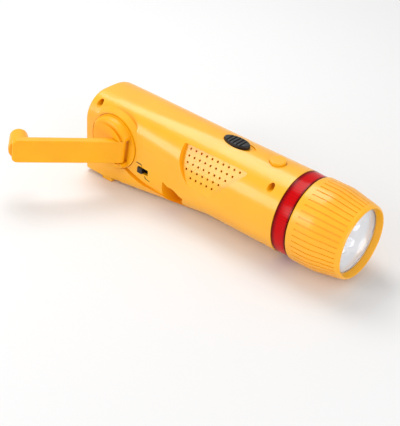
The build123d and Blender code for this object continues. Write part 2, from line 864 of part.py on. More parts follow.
with BuildPart() as gear_plate:
    with BuildSketch(across(plate_outer)):
        with BuildLine():
            Polyline(
                (26.5, -22.0),
                (58.5, -18.6),
                (rotor_x + 10, rotor_z - 5),
                (rotor_x + 10, rotor_z + 7),
                (52.0, 20.4),
                (45.5, 20.4),
                (26.5, -15.0),
                close=True,
            )
        make_face()
        with Locations((idler_x, idler_z)):
            Circle(idler_pin_radius + 0.02, mode=Mode.SUBTRACT)
        with Locations((rotor_x, rotor_z)):
            Circle(3.0 + part_gap, mode=Mode.SUBTRACT)
        with Locations(pillar_places):
            Circle(plate_screw_radius + part_gap, mode=Mode.SUBTRACT)
    extrude(amount=-plate_thickness)
save(gear_plate, "gear_plate")

with BuildPart() as plate_screws:
    for place_x, place_z in pillar_places:
        disc(plate_inner, place_x, place_z, plate_screw_head, -1.4)
        disc(plate_inner, place_x, place_z, plate_screw_radius, plate_thickness + 4.6)
save(plate_screws, "plate_screws")

# ---------------------------------------------------------------- generator
can_inner = can_outer - can_length
with BuildPart() as generator_can:
    disc(can_outer, rotor_x, rotor_z, can_radius, -can_length)
    disc(can_outer, rotor_x, rotor_z, 3.0, 1.2)
    disc(can_inner, rotor_x, rotor_z, 3.0, -1.2)
    disc(can_outer - can_wall, rotor_x, rotor_z, can_radius - can_wall, 2 * can_wall - can_length, Mode.SUBTRACT)
    disc(can_outer + 2, rotor_x, rotor_z, rotor_shaft_radius + shaft_clearance, -can_length - 2, Mode.SUBTRACT)
save(generator_can, "generator_can")

coil_outer = can_radius - can_wall - part_gap
coil_inner = 7.6
coil_top = can_outer - can_wall - 1.5
coil_height = can_length - 2 * can_wall - 3.0
with BuildPart() as stator_coils:
    with BuildSketch(across(coil_top)):
        with Locations((rotor_x, rotor_z)):
            Circle(coil_outer)
            Circle(coil_inner, mode=Mode.SUBTRACT)
            with PolarLocations(coil_inner, 6):
                Rectangle(2.4, 1.2, mode=Mode.SUBTRACT)
    extrude(amount=-coil_height)
save(stator_coils, "stator_coils")

rotor_shaft_end = can_inner + can_wall / 2
with BuildPart() as rotor_shaft:
    disc(rotor_shaft_end, rotor_x, rotor_z, rotor_shaft_radius, second_stage_outer + 0.5 - rotor_shaft_end)
save(rotor_shaft, "rotor_shaft")

with BuildPart() as rotor_magnet:
    disc(coil_top - 0.5, rotor_x, rotor_z, coil_inner - 0.5, 1.0 - coil_height)
    disc(can_outer, rotor_x, rotor_z, rotor_shaft_radius + 0.01, -can_length, Mode.SUBTRACT)
save(rotor_magnet, "rotor_magnet")


# ---------------------------------------------------------------- controls
with BuildPart() as power_slider:
    with BuildSketch(Plane.XY.offset(slider_bottom)):
        with Locations((slider_centre_x, 0)):
            Ellipse(slider_length / 2, slider_width / 2)
    extrude(amount=slider_top - slider_bottom)
    fillet(power_slider.edges().group_by(Axis.Z)[-1], radius=1.0)
    # grip grooves across the cap
    for groove in range(slider_grooves):
        groove_x = slider_centre_x + (groove - (slider_grooves - 1) / 2) * slider_groove_pitch
        with Locations((groove_x, 0, slider_top)):
            Box(0.9, slider_width, 1.2, mode=Mode.SUBTRACT)
    with BuildSketch(Plane.XY.offset(slider_bottom)):
        with Locations((slider_centre_x, 0)):
            Rectangle(slider_stem_length, slider_stem_width)
    extrude(amount=switch_top + 0.4 - slider_bottom)
    with BuildSketch(Plane.XY.offset(switch_top + 0.4)):
        with Locations((slider_centre_x, 0)):
            Rectangle(slider_stem_length - 2, 1.4)
    extrude(amount=-1.4)
save(power_slider, "power_slider")

board_top = board_bottom + board_thickness
with BuildPart() as power_switch_body:
    with Locations((slider_centre_x + slider_travel / 2, 0, board_top)):
        Box(14, 6, switch_top - board_top, align=(Align.CENTER, Align.CENTER, Align.MIN))
    with Locations((slider_centre_x + slider_travel / 2, 0, switch_top)):
        Box(
            slider_stem_length - 2 + slider_travel + 2 * slide_gap,
            1.4 + 2 * slide_gap,
            1.3,
            align=(Align.CENTER, Align.CENTER, Align.MAX),
            mode=Mode.SUBTRACT,
        )
save(power_switch_body, "power_switch_body")

with BuildPart() as lamp_button:
    with BuildSketch(Plane.XY.offset(button_bottom)):
        with Locations((button_x, 0)):
            Circle(button_radius)
    extrude(amount=button_top - button_bottom)
    fillet(lamp_button.edges().group_by(Axis.Z)[-1], radius=0.8)
    with BuildSketch(Plane.XY.offset(button_bottom)):
        with Locations((button_x, 0)):
            Circle(button_radius + button_flange)
    extrude(amount=0.8)
save(lamp_button, "lamp_button")

tact_top = button_bottom - button_travel - button_stroke_gap
with BuildPart() as tact_switch:
    with Locations((button_x, 0, board_top)):
        Box(6, 6, 1.4, align=(Align.CENTER, Align.CENTER, Align.MIN))
    with Locations((button_x, 0, board_top)):
        Cylinder(1.7, tact_top - board_top, align=(Align.CENTER, Align.CENTER, Align.MIN))
save(tact_switch, "tact_switch")

with BuildPart() as main_board:
    with Locations(((board_start + board_end) / 2, (board_front_y + board_back_y) / 2, board_bottom)):
        Box(
            board_end - board_start,
            board_back_y - board_front_y,
            board_thickness,
            align=(Align.CENTER, Align.CENTER, Align.MIN),
        )
save(main_board, "main_board")

selector_body_outer = floor_level - wall - 0.3
selector_body_depth = 4.0
selector_knob_length = selector_slot_length - selector_travel - 2 * slide_gap - 0.2
selector_rest_x = selector_x - selector_travel / 2
with BuildPart() as selector_switch_body:
    with BuildSketch(across(selector_body_outer)):
        with Locations((selector_x, selector_z)):
            Rectangle(selector_slot_length + 1.0, selector_slot_width + 1.2)
    extrude(amount=-selector_body_depth)
    with BuildSketch(across(selector_body_outer)):
        with Locations((selector_x, selector_z)):
            Rectangle(2.4 + selector_travel + 2 * slide_gap, 1.4 + 2 * slide_gap)
    extrude(amount=-1.6, mode=Mode.SUBTRACT)
save(selector_switch_body, "selector_switch_body")

with BuildPart() as selector_knob:
    with BuildSketch(across(selector_body_outer + slide_gap)):
        with Locations((selector_rest_x, selector_z)):
            Rectangle(selector_knob_length, selector_slot_width - 2 * slide_gap)
    extrude(amount=selector_knob_top - selector_body_outer - slide_gap)
    with BuildSketch(across(selector_body_outer + slide_gap)):
        with Locations((selector_rest_x, selector_z)):
            Rectangle(2.4, 1.4)
    extrude(amount=-1.4)
save(selector_knob, "selector_knob")


# ---------------------------------------------------------------- speaker and battery
speaker_axis = Axis((speaker_x, 0, 0), speaker_normal)
speaker_profile_plane = Plane(origin=(speaker_x, 0, 0), x_dir=(1, 0, 0), z_dir=Vector(1, 0, 0).cross(speaker_normal))
basket_lip = speaker_front - 1.4
magnet_radius = speaker_radius * 0.6
magnet_back = speaker_front - 9.8
with BuildPart() as speaker_basket:
    with BuildSketch(speaker_profile_plane):
        with BuildLine():
            Polyline(
                (speaker_radius - 2.1, speaker_front),
                (speaker_radius, speaker_front),
                (speaker_radius, basket_lip),
                (speaker_radius - 1.2, basket_lip),
                (magnet_radius, magnet_back + 3.4),
                (magnet_radius, magnet_back),
                (0, magnet_back),
                (0, magnet_back + 2.2),
                (magnet_radius - 1.8, magnet_back + 2.2),
                (magnet_radius - 1.8, magnet_back + 4.0),
                (speaker_radius - 2.1, basket_lip + 0.6),
                close=True,
            )
        make_face()
    revolve(axis=speaker_axis)
save(speaker_basket, "speaker_basket")

cone_rim = speaker_radius - 2.4
with BuildPart() as speaker_cone:
    with BuildSketch(speaker_profile_plane):
        with BuildLine():
            Polyline(
                (cone_rim, speaker_front - 0.2),
                (cone_rim, speaker_front - 0.8),
                (5.0, speaker_front - 4.4),
                (0, speaker_front - 4.6),
                (0, speaker_front - 3.2),
                (4.6, speaker_front - 3.6),
                (cone_rim - 0.8, speaker_front - 0.2),
                close=True,
            )
        make_face()
    revolve(axis=speaker_axis)
save(speaker_cone, "speaker_cone")

cell_angles = [-90 + k * cell_spacing_angle for k in (-1, 0, 1)]
with BuildPart() as battery_cells:
    for angle in cell_angles:
        with BuildSketch(Plane.YZ.offset(cell_start)):
            with Locations((cell_orbit * cos(radians(angle)), cell_orbit * sin(radians(angle)))):
                Circle(cell_radius)
        extrude(amount=cell_length)
        with BuildSketch(Plane.YZ.offset(cell_start + cell_length)):
            with Locations((cell_orbit * cos(radians(angle)), cell_orbit * sin(radians(angle)))):
                Circle(cell_radius * 0.42)
        extrude(amount=0.9)
save(battery_cells, "battery_cells")

tray_outer = barrel_radius - wall - 0.35
tray_inner = cell_orbit + cell_radius + 0.15
tray_half_angle = 56
tray_end_inner = cell_orbit - cell_radius
with BuildPart() as battery_tray:
    for start, length, inner in (
        (cell_start - 1.3, cell_length + 3.6, tray_inner),
        (cell_start - 1.3, 1.2, tray_end_inner),
        (cell_start + cell_length + 1.1, 1.2, tray_end_inner),
    ):
        with BuildSketch(Plane.YZ.offset(start)):
            with BuildLine():
                CenterArc((0, 0), tray_outer, -90 - tray_half_angle, 2 * tray_half_angle)
                CenterArc((0, 0), inner, -90 - tray_half_angle, 2 * tray_half_angle)
                for side in (-1, 1):
                    edge = radians(-90 + side * tray_half_angle)
                    Line(
                        (inner * cos(edge), inner * sin(edge)),
                        (tray_outer * cos(edge), tray_outer * sin(edge)),
                    )
            make_face()
        extrude(amount=length)
save(battery_tray, "battery_tray")


# ---------------------------------------------------------------- head group, turned about the barrel axis
profile_plane = Plane(origin=(0, 0, 0), x_dir=(1, 0, 0), z_dir=(0, -1, 0))
neck_fit = neck_radius + 0.15

ring_edge = 0.4
ring_back = ring_start + part_gap
ring_front = ring_start + ring_length
with BuildPart() as warning_ring:
    with BuildSketch(profile_plane):
        with BuildLine():
            Line((ring_back, neck_fit), (ring_back, barrel_radius - ring_edge))
            Line((ring_back, barrel_radius - ring_edge), (ring_back + ring_edge, barrel_radius))
            ThreePointArc(
                (ring_back + ring_edge, barrel_radius),
                ((ring_back + ring_front) / 2, barrel_radius - ring_waist),
                (ring_front, barrel_radius - ring_edge / 2),
            )
            Line((ring_front, barrel_radius - ring_edge / 2), (ring_front, neck_fit))
            Line((ring_front, neck_fit), (ring_back, neck_fit))
        make_face()
    revolve(axis=Axis.X)
save(warning_ring, "warning_ring")

# outer curve of the head, from the collar to the rounded lip
collar_x = head_start + 1.8
taper_x = head_start + 13.5
taper_middle_x = head_start + 25.5
taper_middle_drop = 1.8
lip_x = head_end - 2.2
lip_back_radius = head_lip_radius + 0.7


def head_curve(drop):
    """Outer line of the head from the collar to the lip, lowered by drop."""
    Spline(
        (taper_x, head_radius - drop),
        (taper_middle_x, head_radius - taper_middle_drop - drop),
        (lip_x, lip_back_radius - drop),
        tangents=((1, 0), (1, -0.3)),
    )


groove_start = head_start + 5.2
groove_end = lip_x - 0.8
with BuildPart() as head_grooves:
    with BuildSketch(Plane.YZ.offset(groove_start)):
        with PolarLocations(head_radius, head_groove_count):
            Rectangle(4 * head_groove_depth + 8, head_groove_width)
    extrude(amount=groove_end - groove_start)
    # keep only the shallow layer outside the groove floor
    with BuildSketch(profile_plane):
        with BuildLine():
            Line((groove_start - 1, 0), (groove_start - 1, head_radius - head_groove_depth))
            Line((groove_start - 1, head_radius - head_groove_depth), (taper_x, head_radius - head_groove_depth))
            head_curve(head_groove_depth)
            Line((lip_x, lip_back_radius - head_groove_depth), (lip_x, 0))
            Line((lip_x, 0), (groove_start - 1, 0))
        make_face()
    revolve(axis=Axis.X, mode=Mode.SUBTRACT)

with BuildPart() as head_bezel:
    with BuildSketch(profile_plane):
        with BuildLine():
            Line((head_start, neck_fit), (head_start, head_radius - 1.9))
            ThreePointArc(
                (head_start, head_radius - 1.9),
                (head_start + 0.5, head_radius - 0.55),
                (collar_x, head_radius),
            )
            Line((collar_x, head_radius), (taper_x, head_radius))
            head_curve(0)
            ThreePointArc(
                (lip_x, lip_back_radius),
                (head_end - 0.6, head_lip_radius + 0.1),
                (head_end, head_lip_radius - 0.7),
            )
            Line((head_end, head_lip_radius - 0.7), (head_end - 0.4, head_lip_radius - 1.2))
            Line((head_end - 0.4, head_lip_radius - 1.2), (lens_front + 0.8, lens_opening))
            Line((lens_front + 0.8, lens_opening), (lens_front, lens_opening))
            Line((lens_front, lens_opening), (lens_front, lens_radius + 0.25))
            Line((lens_front, lens_radius + 0.25), (lens_front - 14.5, lens_radius + 0.25))
            Line((lens_front - 14.5, lens_radius + 0.25), (lens_front - 16.5, head_radius - 3.0))
            Line((lens_front - 16.5, head_radius - 3.0), (head_start + 6.5, head_radius - 3.0))
            Line((head_start + 6.5, head_radius - 3.0), (head_start + 6.5, neck_fit))
            Line((head_start + 6.5, neck_fit), (head_start, neck_fit))
        make_face()
    revolve(axis=Axis.X)
    add(head_grooves.part, mode=Mode.SUBTRACT)
save(head_bezel, "head_bezel")

with BuildPart() as head_lens:
    with BuildSketch(Plane.YZ.offset(lens_front - part_gap)):
        Circle(lens_radius)
    extrude(amount=-lens_thickness)
save(head_lens, "head_lens")

dish_rim_x = lens_front - part_gap - lens_thickness - part_gap
dish_depth = 7.4
skirt_back = dish_rim_x - 11.4
led_places = [90 + k * 360 / led_count for k in range(led_count)]
with BuildPart() as reflector:
    with BuildSketch(profile_plane):
        with BuildLine():
            Line((dish_rim_x, lens_radius), (dish_rim_x, lens_radius - 1.2))
            Spline(
                (dish_rim_x, lens_radius - 1.2),
                (dish_rim_x - dish_depth * 0.75, lens_radius * 0.62),
                (dish_rim_x - dish_depth, 0),
                tangents=((-1, -0.45), (0, -1)),
            )
            Line((dish_rim_x - dish_depth, 0), (dish_rim_x - dish_depth - 1.0, 0))
            Spline(
                (dish_rim_x - dish_depth - 1.0, 0),
                (dish_rim_x - dish_depth * 0.75 - 1.0, lens_radius * 0.62 + 0.6),
                (dish_rim_x - 2.4, lens_radius - 1.0),
                tangents=((0, 1), (1, 0.6)),
            )
            Line((dish_rim_x - 2.4, lens_radius - 1.0), (skirt_back, lens_radius - 1.0))
            Line((skirt_back, lens_radius - 1.0), (skirt_back, lens_radius))
            Line((skirt_back, lens_radius), (dish_rim_x, lens_radius))
        make_face()
    revolve(axis=Axis.X)
    for angle in led_places:
        with BuildSketch(Plane.YZ.offset(skirt_back)):
            with Locations((led_orbit * cos(radians(angle)), led_orbit * sin(radians(angle)))):
                Circle(led_radius + part_gap)
        extrude(amount=20, mode=Mode.SUBTRACT)
save(reflector, "reflector")

led_board_thickness = 1.6
with BuildPart() as led_board:
    with BuildSketch(Plane.YZ.offset(skirt_back - led_board_thickness)):
        Circle(lens_radius)
    extrude(amount=led_board_thickness)
save(led_board, "led_board")

led_height = 8.6
with BuildPart() as head_leds:
    for angle in led_places:
        led_y = led_orbit * cos(radians(angle))
        led_z = led_orbit * sin(radians(angle))
        with BuildSketch(Plane.YZ.offset(skirt_back)):
            with Locations((led_y, led_z)):
                Circle(led_radius)
        extrude(amount=led_height - led_radius)
        with Locations((skirt_back + led_height - led_radius, led_y, led_z)):
            Sphere(led_radius)
save(head_leds, "head_leds")

flasher_board_x = barrel_length + 6.4
with BuildPart() as flasher_board:
    with BuildSketch(Plane.YZ.offset(flasher_board_x)):
        Circle(neck_inner - seat_gap)
        Circle(14.5, mode=Mode.SUBTRACT)
    extrude(amount=1.4)
save(flasher_board, "flasher_board")

with BuildPart() as flasher_leds:
    for lamp_angle in flasher_angles:
        lamp_dir = Vector(0, cos(radians(lamp_angle)), sin(radians(lamp_angle)))
        lamp_plane = Plane(origin=(flasher_x, 0, 0), x_dir=(1, 0, 0), z_dir=lamp_dir)
        with BuildSketch(lamp_plane.offset(neck_inner - 3.2)):
            Circle(flasher_radius)
        extrude(amount=neck_wall + 3.1)
save(flasher_leds, "flasher_leds")
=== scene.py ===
import math

import bmesh
import bpy
from mathutils import Matrix, Vector


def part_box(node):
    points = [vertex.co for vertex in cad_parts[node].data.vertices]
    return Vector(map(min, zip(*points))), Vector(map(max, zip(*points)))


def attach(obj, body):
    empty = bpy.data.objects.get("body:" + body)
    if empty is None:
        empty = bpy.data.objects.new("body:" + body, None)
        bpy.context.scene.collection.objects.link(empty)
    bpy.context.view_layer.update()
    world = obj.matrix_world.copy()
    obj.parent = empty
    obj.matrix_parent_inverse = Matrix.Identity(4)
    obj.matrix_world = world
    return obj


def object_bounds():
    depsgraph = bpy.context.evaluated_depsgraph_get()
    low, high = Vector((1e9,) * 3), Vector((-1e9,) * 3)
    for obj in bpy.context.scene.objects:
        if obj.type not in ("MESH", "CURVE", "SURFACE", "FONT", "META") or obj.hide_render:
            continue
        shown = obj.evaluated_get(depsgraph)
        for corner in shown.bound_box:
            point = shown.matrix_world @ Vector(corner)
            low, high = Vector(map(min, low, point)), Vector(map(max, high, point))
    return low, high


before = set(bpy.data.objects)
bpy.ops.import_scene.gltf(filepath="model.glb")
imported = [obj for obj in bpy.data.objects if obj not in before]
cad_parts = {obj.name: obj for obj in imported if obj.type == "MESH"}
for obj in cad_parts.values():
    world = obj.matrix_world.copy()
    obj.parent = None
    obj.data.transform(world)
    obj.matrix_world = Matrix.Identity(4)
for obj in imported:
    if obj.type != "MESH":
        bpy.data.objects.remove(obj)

# Dressing of a hand crank torch: finishes, small fittings, studio and camera.
# Lengths are metres. Noise scales are per millimetre, and relief depths, the warning ring's
# places and the points of the leader lines are millimetres.
MM = 0.001
cad_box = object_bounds()
bpy.ops.object.select_all(action="DESELECT")


# ---------------------------------------------------------------- shader language
# a Mix node numbers its sockets over all kinds of data; these are the ones for colours
MIX_FACTOR = 0
MIX_FIRST = 6
MIX_SECOND = 7
MIX_RESULT = 2


class Sock:
    """One node output that can be used in sums; an expression adds its Math nodes."""

    def __init__(self, bench, socket):
        self.bench = bench
        self.socket = socket

    def maths(self, operation, *values):
        settings = {"operation": operation}
        return self.bench.node("ShaderNodeMath", settings, dict(enumerate(values)))

    def __add__(self, other):
        return self.maths("ADD", self, other)

    def __radd__(self, other):
        return self.maths("ADD", other, self)

    def __sub__(self, other):
        return self.maths("SUBTRACT", self, other)

    def __rsub__(self, other):
        return self.maths("SUBTRACT", other, self)

    def __mul__(self, other):
        return self.maths("MULTIPLY", self, other)

    def __rmul__(self, other):
        return self.maths("MULTIPLY", other, self)

    def larger(self, other):
        return self.maths("MAXIMUM", self, other)

    def sine(self):
        return self.maths("SINE", self)

    def turn_from(self, other):
        """The angle of the point (other, self), in radians."""
        return self.maths("ARCTAN2", self, other)

    def step(self, low, high):
        """0 below low, 1 above high, eased between."""
        settings = {"interpolation_type": "SMOOTHSTEP"}
        inputs = {"Value": self, "From Min": low, "From Max": high}
        return self.bench.node("ShaderNodeMapRange", settings, inputs)


class Bench:
    """A node tree and the one way to add nodes to it."""

    def __init__(self, tree):
        self.tree = tree

    def node(self, kind, settings, inputs, output=0):
        """Add one node: its settings first, then values or links for its sockets."""
        node = self.tree.nodes.new(kind)
        for setting, value in settings.items():
            setattr(node, setting, value)
        for socket, value in inputs.items():
            if isinstance(value, Sock):
                self.tree.links.new(value.socket, node.inputs[socket])
            else:
                node.inputs[socket].default_value = value
        return Sock(self, node.outputs[output])


class Finish(Bench):
    """A procedural material on object coordinates, built node by node."""

    def __init__(self, name, colour, roughness, **constants):
        self.material = bpy.data.materials.new(name)
        self.material.use_nodes = True
        super().__init__(self.material.node_tree)
        self.shader = self.tree.nodes["Principled BSDF"]
        self.shader.inputs["Base Color"].default_value = (*colour, 1)
        self.shader.inputs["Roughness"].default_value = roughness
        for socket, value in constants.items():
            self.shader.inputs[socket.replace("_", " ")].default_value = value
        self.place = self.node("ShaderNodeTexCoord", {}, {}, "Object")

    def drive(self, socket, value):
        """Let a value that changes over the surface feed one socket of the shader."""
        self.tree.links.new(value.socket, self.shader.inputs[socket])

    def noise(self, scale, detail, stretch=(1, 1, 1)):
        """Noise with features of about 1/scale millimetres."""
        place = self.node("ShaderNodeMapping", {}, {"Vector": self.place, "Scale": stretch})
        inputs = {"Vector": place, "Scale": scale / MM, "Detail": detail}
        return self.node("ShaderNodeTexNoise", {}, inputs, "Fac")

    def axes(self):
        """The x, y and z of the place, in millimetres."""
        inputs = {"Vector": self.place}
        split = [self.node("ShaderNodeSeparateXYZ", {}, inputs, axis) for axis in "XYZ"]
        return [part * (1 / MM) for part in split]

    def blend(self, factor, first, second):
        """A colour between two, by a factor over the surface."""
        inputs = {MIX_FACTOR: factor, MIX_FIRST: (*first, 1), MIX_SECOND: (*second, 1)}
        return self.node("ShaderNodeMix", {"data_type": "RGBA"}, inputs, MIX_RESULT)

    def drift_gloss(self, low, spread, scale, detail=3.0):
        """Roughness that wanders over the surface, from low to at most low + spread."""
        self.drive("Roughness", low + self.noise(scale, detail) * spread)

    def bump(self, height, depth):
        """Relief: height runs from 0 to 1 over a depth in millimetres."""
        inputs = {"Height": height, "Strength": 1.0, "Distance": depth * MM}
        self.drive("Normal", self.node("ShaderNodeBump", {}, inputs))


def linear(red, green, blue):
    """A colour given as seen on a screen, 0 to 255, in the linear values that shaders use.

    It undoes the standard screen curve: a straight toe, then a power."""
    parts = [channel / 255 for channel in (red, green, blue)]
    return tuple(p / 12.92 if p <= 0.04045 else ((p + 0.055) / 1.055) ** 2.4 for p in parts)


# ---------------------------------------------------------------- moulded plastic
PLASTIC_IOR = 1.5
SHEEN_ROUGHNESS = 0.12
TONE_SCALE = 0.035
TONE_EDGES = (0.35, 0.75)
HAZE_SCALE = 0.12
HAZE_SPREAD = 0.1


def moulded(name, colour, deep, roughness, grain=6.0, relief=0.012, coat=0.25, specular=0.5):
    """Moulded plastic: a fine spark grain, slow drifts of tone and gloss, and a thin sheen."""
    finish = Finish(
        name,
        colour,
        roughness,
        Coat_Weight=coat,
        Coat_Roughness=SHEEN_ROUGHNESS,
        IOR=PLASTIC_IOR,
        Specular_IOR_Level=specular,
    )
    tone = finish.noise(TONE_SCALE, detail=3.0).step(*TONE_EDGES)
    finish.drive("Base Color", finish.blend(tone, colour, deep))
    finish.drift_gloss(roughness - HAZE_SPREAD / 2, HAZE_SPREAD, HAZE_SCALE, detail=4.0)
    finish.bump(finish.noise(grain, detail=1.0), relief)
    return finish


housing_yellow = moulded(
    "housing_yellow", linear(252, 180, 14), linear(249, 173, 10), roughness=0.34
)
crank_yellow = moulded(
    "crank_yellow",
    linear(250, 178, 12),
    linear(247, 170, 8),
    roughness=0.38,
    coat=0.05,
    specular=0.3,
)
switch_black = moulded(
    "switch_black",
    linear(20, 20, 22),
    linear(12, 12, 14),
    roughness=0.42,
    grain=3.0,
    relief=0.03,
    coat=0.0,
)
speaker_black = moulded(
    "speaker_black",
    linear(30, 30, 32),
    linear(20, 20, 22),
    roughness=0.5,
    grain=4.0,
    relief=0.02,
    coat=0.0,
)
cone_paper = moulded(
    "cone_paper",
    linear(70, 66, 62),
    linear(50, 47, 44),
    roughness=0.8,
    grain=2.0,
    relief=0.05,
    coat=0.0,
)
gear_white = moulded(
    "gear_white",
    linear(236, 234, 226),
    linear(226, 223, 212),
    roughness=0.35,
    grain=5.0,
    relief=0.01,
    coat=0.1,
)
board_green = moulded(
    "board_green",
    linear(26, 98, 52),
    linear(20, 84, 44),
    roughness=0.4,
    grain=2.0,
    relief=0.02,
    coat=0.3,
)
board_white = moulded(
    "board_white",
    linear(236, 236, 232),
    linear(228, 228, 222),
    roughness=0.4,
    grain=2.0,
    relief=0.02,
    coat=0.3,
)
cell_wrap = moulded(
    "cell_wrap",
    linear(58, 128, 74),
    linear(48, 112, 62),
    roughness=0.3,
    grain=2.0,
    relief=0.01,
    coat=0.5,
)
magnet_dark = moulded(
    "magnet_dark",
    linear(60, 60, 62),
    linear(46, 46, 48),
    roughness=0.5,
    grain=3.0,
    relief=0.03,
    coat=0.0,
)
marking_dark = moulded(
    "marking_dark",
    linear(40, 30, 22),
    linear(30, 24, 18),
    roughness=0.55,
    grain=3.0,
    relief=0.01,
    coat=0.0,
)

# ---------------------------------------------------------------- metal and reflector
SCRATCH_DEPTH = 0.006
SCRATCH_SHINE = 0.04
SCRATCH_SPREAD = 0.12


def metal(name, colour, roughness, scratch, stretch):
    """Plain metal with fine drawn scratches along one direction."""
    finish = Finish(name, colour, roughness, Metallic=1.0)
    marks = finish.noise(scratch, detail=3.0, stretch=stretch)
    finish.drive("Roughness", roughness - SCRATCH_SHINE + marks * SCRATCH_SPREAD)
    finish.bump(marks, SCRATCH_DEPTH)
    return finish


screw_steel = metal(
    "screw_steel", linear(196, 196, 200), roughness=0.3, scratch=2.5, stretch=(1, 1, 4)
)
can_steel = metal(
    "can_steel", linear(186, 188, 192), roughness=0.34, scratch=1.5, stretch=(1, 6, 1)
)
coil_copper = metal(
    "coil_copper", linear(196, 112, 58), roughness=0.35, scratch=3.0, stretch=(1, 8, 1)
)

reflector_silver = Finish(
    "reflector_silver", linear(246, 249, 255), roughness=0.2, Metallic=0.1, Coat_Weight=0.8
)
reflector_silver.drift_gloss(low=0.18, spread=0.08, scale=0.4)
reflector_silver.bump(reflector_silver.noise(0.6, detail=1.0), depth=0.004)

# ---------------------------------------------------------------- clear plastic
# the warning ring: clear red, with painted shade in bands at its back and front edges, where its
# wall is seen edge on, and painted stripes of shade for fine flutes inside; its places and the
# widths of the shaded bands are millimetres along the torch
RING_START = 152.7
RING_END = 162.4
RING_BACK_SHADE = 3.6
RING_FRONT_SHADE = 1.8
RING_EDGE_SHADE_WEIGHT = 0.85
RING_FLUTES = 90
RING_FLUTE_SHADE_WEIGHT = 0.16
RING_BASE_RED = linear(210, 0, 6)
RING_PAINTED_SHADE_RED = linear(86, 0, 6)

ring_red = Finish(
    "ring_red",
    RING_BASE_RED,
    roughness=0.2,
    Transmission_Weight=0.06,
    IOR=1.38,
    Specular_IOR_Level=0.16,
)
ring_x, ring_y, ring_z = ring_red.axes()
# painted shade: the base colour darkens towards the ring's back and front edges
ring_back_painted_shade = 1 - (ring_x - RING_START).step(0.0, RING_BACK_SHADE)
ring_front_painted_shade = (ring_x - RING_END).step(-RING_FRONT_SHADE, 0.0)
# painted shade: faint dark stripes around the ring stand in for the shading of its inner flutes
ring_flute_painted_shade = (ring_z.turn_from(ring_y) * RING_FLUTES).sine() * 0.5 + 0.5
ring_painted_shade = (ring_back_painted_shade + ring_front_painted_shade) * RING_EDGE_SHADE_WEIGHT + ring_flute_painted_shade * RING_FLUTE_SHADE_WEIGHT
# all the painted shade is blended into the base colour, from the plain red to the shaded red
ring_red.drive("Base Color", ring_red.blend(ring_painted_shade, RING_BASE_RED, RING_PAINTED_SHADE_RED))
ring_red.drift_gloss(low=0.14, spread=0.12, scale=0.2)
ring_red.bump(ring_red.noise(0.5, detail=1.0), depth=0.01)

lens_clear = Finish(
    "lens_clear", (1, 1, 1), roughness=0.02, Transmission_Weight=1.0, IOR=1.45
)
lens_clear.drift_gloss(low=0.0, spread=0.03, scale=0.3)

LED_GLOW = 0.28
led_white = Finish(
    "led_white",
    linear(248, 249, 253),
    roughness=0.08,
    Transmission_Weight=0.55,
    IOR=PLASTIC_IOR,
    Coat_Weight=0.5,
    Emission_Color=(0.94, 0.96, 1.0, 1.0),
    Emission_Strength=LED_GLOW,
)
led_white.drift_gloss(low=0.05, spread=0.06, scale=0.8, detail=2.0)

led_red = Finish(
    "led_red", linear(190, 16, 20), roughness=0.1, Transmission_Weight=0.4, IOR=PLASTIC_IOR
)
led_red.drift_gloss(low=0.06, spread=0.08, scale=0.8, detail=2.0)


# ---------------------------------------------------------------- finish of each CAD node
def paint(piece, finish):
    """Put one finish in every material slot of a piece."""
    if not piece.material_slots:
        piece.data.materials.append(finish.material)
    for place in piece.material_slots:
        place.material = finish.material


NODE_FINISH = {
    "battery_cells": cell_wrap,
    "battery_tray": speaker_black,
    "case_screws": screw_steel,
    "crank_arm": crank_yellow,
    "crank_gear": gear_white,
    "crank_hub": crank_yellow,
    "crank_knob": crank_yellow,
    "crank_side_shell": housing_yellow,
    "flasher_board": board_green,
    "flasher_leds": led_red,
    "gear_plate": can_steel,
    "generator_can": can_steel,
    "head_bezel": housing_yellow,
    "head_leds": led_white,
    "head_lens": lens_clear,
    "hinge_pin": screw_steel,
    "hub_screw": screw_steel,
    "idler_gear": gear_white,
    "idler_pin": screw_steel,
    "knob_post": screw_steel,
    "lamp_button": housing_yellow,
    "led_board": board_white,
    "main_board": board_green,
    "plain_side_shell": housing_yellow,
    "plate_screws": screw_steel,
    "power_slider": switch_black,
    "power_switch_body": switch_black,
    "reflector": reflector_silver,
    "rotor_magnet": magnet_dark,
    "rotor_pinion": screw_steel,
    "rotor_shaft": screw_steel,
    "selector_knob": switch_black,
    "selector_switch_body": switch_black,
    "speaker_basket": speaker_black,
    "speaker_cone": cone_paper,
    "stator_coils": coil_copper,
    "tact_switch": switch_black,
    "warning_ring": ring_red,
}
for node_name, node_finish in NODE_FINISH.items():
    paint(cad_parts[node_name], node_finish)

# ---------------------------------------------------------------- small fittings
SMOOTH_ANGLE = math.radians(35)
FACING = 0.9


def select_faces(piece, wanted):
    """In edit mode, select the faces whose normal passes a test."""
    bpy.ops.mesh.select_all(action="DESELECT")
    mesh = bmesh.from_edit_mesh(piece.data)
    for face in mesh.faces:
        if wanted(face.normal):
            face.select_set(True)
    bmesh.update_edit_mesh(piece.data)


def apply_modifier(piece, kind, **settings):
    """Give the active piece one modifier and apply it."""
    modifier = piece.modifiers.new(kind.lower(), kind)
    for setting, value in settings.items():
        setattr(modifier, setting, value)
    bpy.ops.object.modifier_apply(modifier=modifier.name)


def settle(piece, name, body, finish):
    """Name a finished piece, put its place in its mesh, and give it its body and finish."""
    piece.name = name
    piece.data.name = name
    bpy.ops.object.transform_apply(location=True, rotation=True, scale=True)
    bpy.ops.object.shade_smooth_by_angle(angle=SMOOTH_ANGLE)
    paint(piece, finish)
    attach(piece, body)
    bpy.ops.object.select_all(action="DESELECT")


# five cups, one in each lamp; the floor and the foot are shares of the radius above them
LED_COUNT = 5
LED_ORBIT = 8.6 * MM
LED_FIRST_TURN = 90
CUP_SIDES = 28
CUP_RADIUS = 1.15 * MM
CUP_RIM = 0.3 * MM
CUP_DEPTH = 0.5 * MM
CUP_FLOOR = 0.55
CUP_EDGE = 0.08 * MM
CUP_BELOW_DOME = 2.6 * MM
POST_LENGTH = 3.0 * MM
POST_FOOT = 0.45


